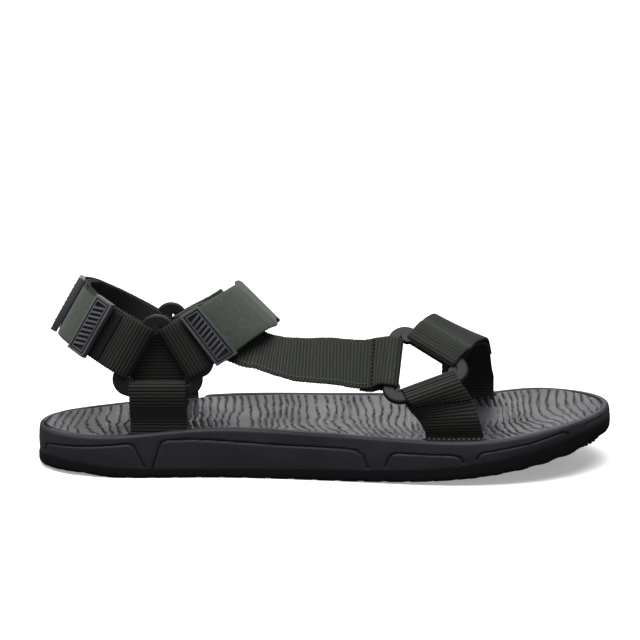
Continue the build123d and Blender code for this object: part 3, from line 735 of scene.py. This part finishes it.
class SANDAL_OT_footbed(Step, Operator):
    """Foam footbed with wavy contour lines cut across it, cupped to the foot"""
    bl_idname = "sandal.footbed"
    bl_label = "Footbed"

    def build(self, sizes, colours):
        tree = tree_of("footbed")
        low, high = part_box("footbed")
        inset, skirt_depth = 0.15 * MM, 5 * MM
        rows, columns = 560, 140
        xs = 0.5 - 0.5 * np.cos(np.linspace(0.035, math.pi - 0.035, rows))
        xs = low.x + inset + (high.x - low.x - 2 * inset) * xs
        xs = np.linspace(xs[0], xs[-1], rows) * 0.93 + xs * 0.07
        lower, upper = [], []
        for x in xs:
            z = drop(tree, x, 0.002)
            z = (0.026 if z is None else z) - 2.2 * MM
            near = tree.ray_cast(Vector((x, -0.2, z)), Vector((0, 1, 0)))[0]
            far = tree.ray_cast(Vector((x, 0.2, z)), Vector((0, -1, 0)))[0]
            lower.append(near.y + inset)
            upper.append(far.y - inset)
        lower, upper = running_mean(lower), running_mean(upper)
        t = np.linspace(0, 1, columns)
        x = np.repeat(xs[:, None], columns, 1)
        y = lower[:, None] + (upper - lower)[:, None] * t[None]
        surface = fitted_heights(tree, x, y)
        line, share = contours(x, y, sizes.contour_pitch)
        ends = np.minimum(x - xs[0], xs[-1] - x) * 0.6
        margin = np.minimum(np.minimum(y - lower[:, None], upper[:, None] - y), ends)
        fade = np.clip((margin - 1.2 * MM) / (1.5 * MM), 0, 1)
        line = line * fade
        z = surface - line * sizes.contour_depth + (share - 0.5) * 0.25 * MM * fade
        z = z - 0.5 * MM * np.clip(1 - margin / (0.9 * MM), 0, 1)
        hollow = np.zeros(x.shape, bool)
        for index in np.ndindex(x.shape):
            hit = drop(tree, x[index], y[index])
            hollow[index] = hit is None or hit < surface[index] - 2 * MM
        hollow &= margin > 0.3 * MM
        z = np.where(hollow, surface - 4.5 * MM, z)
        top = np.stack([x, y, z], 2)
        skirt = np.stack([x, y, surface - skirt_depth], 2)
        points = np.concatenate([skirt[:, :1], top, skirt[:, -1:]], 1)
        first, last = points[:1].copy(), points[-1:].copy()
        first[..., 2] = surface[0].mean() - skirt_depth
        last[..., 2] = surface[-1].mean() - skirt_depth
        points = np.concatenate([first, points, last])
        # Painted shade: the contour lines and the hollows of the strap slots are marked for the foam's painted groove
        # shade.
        depth = np.pad(np.maximum(line, hollow), 1, mode="edge")
        piece = grooved_grid(points, depth, close=bpy.ops.mesh.edge_face_add)
        smooth(piece, 60)
        foam = grooved("footbed_foam", colours.footbed, 0.45, 0.03)
        settle(piece, "footbed_contoured", foam, "footbed_foam", ROOT, "footbed")


def running_mean(values):
    """An open run of values, smoothed between neighbours, with its ends kept."""
    values = np.array(values)
    for _ in range(8):
        inner = values[1:-1] * 0.5 + (values[:-2] + values[2:]) * 0.25
        values = np.concatenate([values[:1], inner, values[-1:]])
    return values


def fitted_heights(tree, x, y):
    """A smooth surface through the CAD piece's top, as a low polynomial in each direction."""
    samples = []
    for px in np.linspace(x.min() + 0.003, x.max() - 0.003, 70):
        for py in np.linspace(y.min(), y.max(), 34):
            z = drop(tree, px, py)
            if z is not None:
                samples.append((px, py, z))
    samples = np.array(samples)

    def terms(px, py):
        u, v = px / 0.15, py / 0.05
        return np.stack([u ** i * v ** j for i in range(9) for j in range(3)], -1)

    for _ in range(2):
        made = terms(samples[:, 0], samples[:, 1])
        found = np.linalg.lstsq(made, samples[:, 2], rcond=None)[0]
        samples = samples[np.abs(made @ found - samples[:, 2]) < 0.8 * MM]
    return terms(x, y) @ found


def web_corners(piece):
    """Fills the three sharp corners of a ring's hole with small round webs, and joins them to the ring."""
    web_size, web_reach = 2.9 * MM, 17.3 * MM
    points = points_of(piece.data)
    middle = points.mean(0)
    radius = np.linalg.norm(points - middle, axis=1)
    corners = []
    for way in unit(points[radius > radius.max() - 0.5 * MM] - middle):
        if all(way @ other < 0.6 for other in corners):
            corners.append(way)
    turn = Vector(np.cross(corners[0], corners[1])).to_track_quat("Z", "Y").to_matrix()
    webs = []
    for way in corners:
        bpy.ops.mesh.primitive_cylinder_add(vertices=24, radius=web_size, depth=web_size)
        web = bpy.context.object
        for vertex in web.data.vertices:
            vertex.co = turn @ vertex.co + Vector(middle + way * web_reach)
        smooth(web, 40)
        webs.append(web)
    join([piece, *webs])


class SANDAL_OT_rings(Step, Operator):
    """Three moulded triangle rings that the straps loop through"""
    bl_idname = "sandal.rings"
    bl_label = "Rings"

    def build(self, sizes, colours):
        plastic = moulded("ring_plastic", colours.ring, 0.55, 1300, 0.1, 0.25)
        for node in ("ring_rear_outer", "ring_rear_inner", "ring_front_outer"):
            piece = cad_copy(node, 50)
            web_corners(piece)
            settle(piece, node + "_moulded", plastic, "ring_plastic", ROOT, node)


class SANDAL_OT_ribbed_straps(Step, Operator):
    """Cross-ribbed webbing: the risers, ankle pads, anchors, quarter strap and the toe strap's lower layer"""
    bl_idname = "sandal.ribbed_straps"
    bl_label = "Ribbed straps"

    def build(self, sizes, colours):
        weave = ribbed_webbing("ribbed_webbing", colours.webbing, sizes.rib_pitch)
        for seed, node in enumerate(("riser_rear_outer", "riser_rear_inner", "ankle_pad_outer", "ankle_pad_inner",
                                     "heel_anchor_outer", "instep_anchor_outer", "riser_toe_outer", "quarter_strap")):
            piece = band(StrapLine(node), sizes.rib_pitch, sizes.rib_depth, seed=seed)
            settle(piece, node + "_webbing", weave, "ribbed_webbing", ROOT, node)
        line = toe_line()
        piece = band(line, sizes.rib_pitch, sizes.rib_depth, start=line.fold() + 5 * MM, seed=21)
        settle(piece, "toe_strap_webbing", weave, "ribbed_webbing", ROOT)
        piece = band(line, sizes.rib_pitch, sizes.rib_depth, end=line.fold() + 5 * MM, seed=22)
        piece.name = "toe_flap_webbing"
        piece.data.materials.append(weave)
        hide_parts("toe_strap", "toe_flap")
        bend_at(piece, line, "toe_flap_peel")


def toe_line():
    """The toe strap from its flap's free end, through the ring and down into the sole."""
    line = StrapLine("toe_flap", "toe_strap")
    if line.points[0][1] < line.points[-1][1] - 0.02 or line.points[0][2] < 0.02:
        line.flip()
    return line


def bend_at(piece, line, name):
    """Finds the peeling line's place on the strap, with a point a little way towards the fixed body and one towards
    the flap, then bakes the piece's place into its points. The flap is the line's start.
    """
    joint = next(j for j in frame["joints"] if j["name"] == name)
    s = line.nearest(joint["pos_m"])
    fixed, free = line.at([s + BEND_REACH, s - BEND_REACH])[0]
    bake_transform(piece)


# Each closing flap with the strap that it ends, and a point on the foot's side of that strap.
FLAPS = {
    "heel_flap": ("heel_strap", (-0.085, 0, 0.08)),
    "heel_return_flap": ("heel_strap", (-0.085, 0, 0.08)),
    "instep_flap": ("instep_strap", (-0.04, 0, 0.03)),
}


def flap_line(flap):
    """A strap from its flap's free end, and 1 if its face direction is away from the foot there, otherwise -1."""
    strap, foot = FLAPS[flap]
    line = StrapLine(flap, strap)
    low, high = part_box(flap.replace("flap", "pull_tab"))
    tab = np.array((low + high) / 2)
    if np.linalg.norm(line.points[0] - tab) > np.linalg.norm(line.points[-1] - tab):
        line.flip()
    place, _, face, _ = line.at(3 * MM)
    return line, -1 if (np.array(foot) - place[0]) @ face[0] > 0 else 1


def line_inside(piece, width, outward):
    """Gives the side of a strap that starts next to the foot the second finish, its ribbed back."""
    marks = piece.data.uv_layers["strap"].data
    for polygon in piece.data.polygons:
        across = sum(marks[k].uv.x for k in polygon.loop_indices) / polygon.loop_total / 10
        if (across > width / 2 - 0.7 * MM) == (outward > 0):
            polygon.material_index = 1


class SANDAL_OT_smooth_straps(Step, Operator):
    """Brushed webbing: the heel strap with its two flaps and the instep strap with its flap"""
    bl_idname = "sandal.smooth_straps"
    bl_label = "Smooth straps"

    def build(self, sizes, colours):
        pile = brushed_webbing("brushed_webbing", colours.brushed)
        lining = ribbed_webbing("ribbed_lining", scaled(colours.webbing, 0.8), sizes.rib_pitch)
        for seed, (name, flap, past_fold, *fixed) in enumerate((
                ("heel_strap_webbing", "heel_flap", -5 * MM, "heel_strap"),
                ("heel_return_webbing", "heel_return_flap", 5 * MM),
                ("instep_strap_webbing", "instep_flap", None, "instep_strap"))):
            line, outward = flap_line(flap)
            end = None if past_fold is None else line.fold() + past_fold
            piece = band(line, 2.1 * MM, 0.07 * MM, end, seed=seed + 40)
            piece.name = name
            piece.data.materials.append(pile)
            piece.data.materials.append(lining)
            line_inside(piece, line.width, outward)
            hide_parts(flap, *fixed)
            bend_at(piece, line, flap + "_peel")


class SANDAL_OT_tapes(Step, Operator):
    """The hook and loop tapes between the layers of the straps"""
    bl_idname = "sandal.tapes"
    bl_label = "Hook and loop tapes"

    def build(self, sizes, colours):
        loops = tape_pile("loop_tape_pile", scaled(colours.webbing, 0.7), 1900)
        hooks = tape_pile("hook_tape_pile", scaled(colours.webbing, 0.45), 1300)
        bodies = {node: name for name, nodes in frame["record"]["behaviour"]["bodies"].items() for node in nodes}
        for node in ("heel_loop_patch", "instep_loop_patch", "heel_hook_patch", "heel_return_hook_patch",
                     "instep_hook_patch", "toe_hook_patch"):
            piece = band(StrapLine(node), 1.0 * MM, 0.1 * MM, seed=60)
            pile, slot = (hooks, "hook_tape") if "hook" in node else (loops, "loop_tape")
            settle(piece, node + "_tape", pile, slot, bodies[node], node)


def bevel(piece, width, angle):
    """Rounds the edges of the active piece."""
    edges = piece.modifiers.new("edges", "BEVEL")
    edges.width = width
    edges.segments = 2
    edges.limit_method = "ANGLE"
    edges.angle_limit = math.radians(angle)
    bpy.ops.object.modifier_apply(modifier="edges")


def tab_block(length, width, height, low):
    """A flat pull tab: along, across and up. A bevelled block with a cut frame and a field of grip bars."""
    end = 2 * MM
    bpy.ops.mesh.primitive_cube_add(size=1)
    piece = bpy.context.object
    for vertex in piece.data.vertices:
        x, y, z = vertex.co
        top = height if x < 0 else height - 0.5 * MM
        vertex.co = ((x + 0.5) * length - end, y * width, low if z < 0 else low + top)
    bpy.ops.object.mode_set(mode="EDIT")
    bpy.ops.mesh.select_mode(type="FACE")
    bpy.ops.mesh.select_all(action="DESELECT")
    mesh = bmesh.from_edit_mesh(piece.data)
    max(mesh.faces, key=lambda f: f.calc_center_median().z).select = True
    bmesh.update_edit_mesh(piece.data)
    for border, rise in ((1.3, -0.75), (0.6, 0.72), (0.7, -0.72)):
        bpy.ops.mesh.inset(thickness=border * MM)
        bpy.ops.mesh.extrude_region_move(TRANSFORM_OT_translate={"value": (0, 0, rise * MM)})
    bpy.ops.object.mode_set(mode="OBJECT")
    bevel(piece, 0.16 * MM, 50)
    bars = []
    field = length - 2 * 2.6 * MM
    for k in range(-4, 5):
        bpy.ops.mesh.primitive_cube_add(size=1)
        bar = bpy.context.object
        for vertex in bar.data.vertices:
            x, y, z = vertex.co
            s = length / 2 - end + x * field
            top = low + height - 0.28 * MM * (s / length + 0.2)
            vertex.co = (s, (k * 2.5 + y * 1.25 + 2.0 * x) * MM, top + (z - 0.5) * MM)
        bevel(bar, 0.15 * MM, 30)
        bars.append(bar)
    return join([piece, *bars])


class SANDAL_OT_pull_tabs(Step, Operator):
    """Moulded pull tabs on the ends of the three closure flaps"""
    bl_idname = "sandal.pull_tabs"
    bl_label = "Pull tabs"

    def build(self, sizes, colours):
        rubber = grooved("tab_rubber", colours.tab, 0.5, 0.1)
        for flap, under in (("heel_flap", 0.6), ("heel_return_flap", 0.5), ("instep_flap", 0.6)):
            line, out = flap_line(flap)
            piece = tab_block(11 * MM, 30.3 * MM, 3.4 * MM, -line.thickness / 2 - under * MM)
            s, w, h = points_of(piece.data).T
            floor = h.max() - 0.42 * MM
            inside = (s > -0.9 * MM) & (s < 7.9 * MM) & (np.abs(w) < 14 * MM)
            # Painted shade: the floor of the tab's recessed field is marked for the rubber's painted groove shade.
            mark_groove_shade(piece, np.clip((floor - h) / (0.15 * MM), 0, 1) * inside * (h > h.max() - 1.2 * MM))
            place, across, face, _ = line.at(s)
            bent = place + across * w[:, None] * out + face * (h * out)[:, None]
            piece.data.vertices.foreach_set("co", bent.ravel())
            piece.data.update()
            clean(piece)
            smooth(piece, 30)
            node = flap.replace("flap", "pull_tab")
            settle(piece, node + "_moulded", rubber, "tab_rubber", flap, node)


def stitch_row(line, places, name, material, out, size=(1.7, 0.95, 0.55)):
    """One stitch at each (along, across, turn) place on a strap's face. turn is the stitch's angle from along."""
    made = []
    for s, w, turn in places:
        bpy.ops.mesh.primitive_uv_sphere_add(segments=8, ring_count=5, radius=0.5 * MM)
        stitch = bpy.context.object
        place, across, face, along = (v[0] for v in line.at(s))
        lengthwise = along * math.cos(turn) + across * math.sin(turn)
        sideways = np.cross(face, lengthwise)
        centre = place + across * w + face * out * (line.thickness / 2 + 0.02 * MM)
        for vertex in stitch.data.vertices:
            x, y, z = vertex.co
            vertex.co = Vector(centre + lengthwise * x * size[0] + sideways * y * size[1] + face * z * size[2])
        made.append(stitch)
    piece = join(made)
    clean(piece)
    smooth(piece, 80)
    settle(piece, name, material, "ribbed_webbing", ROOT)


class SANDAL_OT_stitching(Step, Operator):
    """Sewn rows that close the straps' loops, and the warp line along the quarter strap's lower edge"""
    bl_idname = "sandal.stitching"
    bl_label = "Stitching"

    def build(self, sizes, colours):
        dark = moulded("dark_thread", scaled(colours.webbing, 0.1), 0.8, 2000, 0.0, 0.1)
        light = moulded("warp_thread", scaled(colours.webbing, 2.1), 0.75, 2000)
        step = np.arange(-12.2, 12.3, 2.2) * MM
        quarter = StrapLine("quarter_strap")
        if quarter.points[0][0] > quarter.points[-1][0]:
            quarter.flip()
        fold = quarter.fold()
        out = -1 if quarter.at(fold - 30 * MM)[2][0][1] > 0 else 1
        seam = [(fold - 15 * MM, w, math.pi / 2) for w in step]
        stitch_row(quarter, seam, "quarter_seam", dark, out)
        down = -1 if quarter.at(fold - 30 * MM)[1][0][2] > 0 else 1
        warp = [(s, down * 11.6 * MM, 0) for s in np.arange(8 * MM, fold - 17 * MM, 1.65 * MM)]
        stitch_row(quarter, warp, "quarter_warp_line", light, out, (1.3, 0.7, 0.6))
        riser = StrapLine("riser_toe_outer")
        fold = riser.fold()
        if riser.points[0][2] > riser.points[-1][2]:
            riser.flip()
            fold = riser.length - fold
        out = -1 if riser.at(fold - 20 * MM)[2][0][1] > 0 else 1
        seam = [(fold - 17 * MM - w * 0.1, w, math.pi / 2) for w in step]
        stitch_row(riser, seam, "toe_riser_seam", dark, out)
        beads(np.arange(50.5, 77, 2.4) * MM, colours)


def beads(places, colours):
    """A row of small moulded bumps on the rim, just outside the toe riser's slot."""
    edge = sole_edge()
    made = []
    for x in places:
        near = np.argmin(np.hypot(edge.outline[:, 0] - x, edge.outline[:, 1] + 50 * MM))
        centre = Vector((x, edge.outline[near, 1] + 4.9 * MM, edge.rim[near] + 0.2 * MM))
        bpy.ops.mesh.primitive_uv_sphere_add(segments=12, ring_count=8, radius=1.0 * MM)
        bead = bpy.context.object
        for vertex in bead.data.vertices:
            vertex.co = vertex.co * Vector((1, 0.8, 0.9)) + centre
        made.append(bead)
    piece = join(made[::-1])
    smooth(piece, 80)
    settle(piece, "toe_slot_bumps", moulded("bead_foam", colours.sidewall, 0.5), "midsole_foam", ROOT)


class SANDAL_OT_stage(Step, Operator):
    """Camera, pale floor and soft studio lights"""
    bl_idname = "sandal.stage"
    bl_label = "Stage"

    def build(self, sizes, colours):
        scene = bpy.context.scene

        def placed(name, data, place=(0, 0, 0), turn=(0, 0, 0)):
            made = bpy.data.objects.new(name, data)
            made.location, made.rotation_euler = place, turn
            scene.collection.objects.link(made)
            return made

        camera = bpy.data.cameras.new("camera")
        camera.lens, camera.sensor_width = 94.2, 36
        camera.clip_start, camera.clip_end = 0.05, 50
        aim, tilt, away = Vector((-0.00255, 0.0008, 0.073)), math.radians(9.7), 0.85
        place = aim - Vector((0, math.cos(tilt), -math.sin(tilt))) * away
        scene.camera = placed("camera", camera, place, (math.pi / 2 - tilt, 0, 0))

        bpy.ops.mesh.primitive_plane_add(size=40)
        floor = bpy.context.object
        floor.name = "floor"
        paper = Finish("floor_paper", (1, 1, 1))
        grain = paper.noise(60, 3)
        shade = paper.tint(0.95, 0.92, grain, 0.3, 0.7, 0, 0.03)
        paper.shader.inputs["Emission Color"].default_value = (1, 1, 1, 1)
        paper.shader.inputs["Emission Strength"].default_value = 0.32
        floor.data.materials.append(paper.set(color=shade, roughness=0.95, specular=0.0))
        floor.visible_diffuse = floor.visible_glossy = False

        sky = bpy.data.lights.new("overhead", "SUN")
        sky.energy, sky.angle = 3.2, math.radians(60)
        placed("overhead", sky, turn=(math.radians(12), math.radians(-8), 0))
        for name, place, size, power, colour in (
                ("key", (-0.25, -0.35, 1.3), 0.8, 8, (1, 0.99, 0.98)),
                ("front", (0.5, -1.9, 0.7), 1.4, 3, (0.97, 0.98, 1)),
                ("back", (0.1, 1.5, 0.9), 1.2, 9, (1, 1, 1)),
                ("left", (-1.5, 0.3, 0.9), 0.8, 1.2, (1, 1, 1))):
            light = bpy.data.lights.new(name, "AREA")
            light.size, light.energy, light.color = size, power, colour
            ahead = Vector((0, 0, 0.04)) - Vector(place)
            placed(name, light, place, ahead.to_track_quat("-Z", "Y").to_euler())

        world = bpy.data.worlds.new("studio")
        world.use_nodes = True
        tree = world.node_tree
        seen = tree.nodes.new("ShaderNodeLightPath").outputs["Is Camera Ray"]
        power = tree.nodes.new("ShaderNodeMapRange")
        power.inputs["To Min"].default_value = 0.16
        power.inputs["To Max"].default_value = 1.05
        tree.links.new(seen, power.inputs["Value"])
        tree.nodes["Background"].inputs["Color"].default_value = (1, 1, 1, 1)
        tree.links.new(power.outputs["Result"], tree.nodes["Background"].inputs["Strength"])
        scene.world = world
        scene.view_settings.view_transform = "Standard"


class SANDAL_PT_builder(Panel):
    bl_label = "Sandal"
    bl_idname = "SANDAL_PT_builder"
    bl_space_type = "VIEW_3D"
    bl_region_type = "UI"
    bl_category = "Sandal"

    def draw(self, context):
        layout = self.layout
        for group in (context.scene.sandal_sizes, context.scene.sandal_colours):
            box = layout.box()
            for name in group.__annotations__:
                box.prop(group, name)
        for step in STEPS:
            layout.operator(step.bl_idname)


STEPS = (SANDAL_OT_stage, SANDAL_OT_outsole, SANDAL_OT_midsole, SANDAL_OT_footbed, SANDAL_OT_rings,
         SANDAL_OT_ribbed_straps, SANDAL_OT_smooth_straps, SANDAL_OT_tapes, SANDAL_OT_pull_tabs, SANDAL_OT_stitching)
CLASSES = (SandalSizes, SandalColours, *STEPS, SANDAL_PT_builder)


def register():
    for item in CLASSES:
        bpy.utils.register_class(item)
    bpy.types.Scene.sandal_sizes = PointerProperty(type=SandalSizes)
    bpy.types.Scene.sandal_colours = PointerProperty(type=SandalColours)


def unregister():
    del bpy.types.Scene.sandal_colours
    del bpy.types.Scene.sandal_sizes
    for item in reversed(CLASSES):
        bpy.utils.unregister_class(item)


def main():
    register()
    for step in STEPS:
        group, name = step.bl_idname.split(".")
        getattr(getattr(bpy.ops, group), name)()


if __name__ == "__main__":
    main()
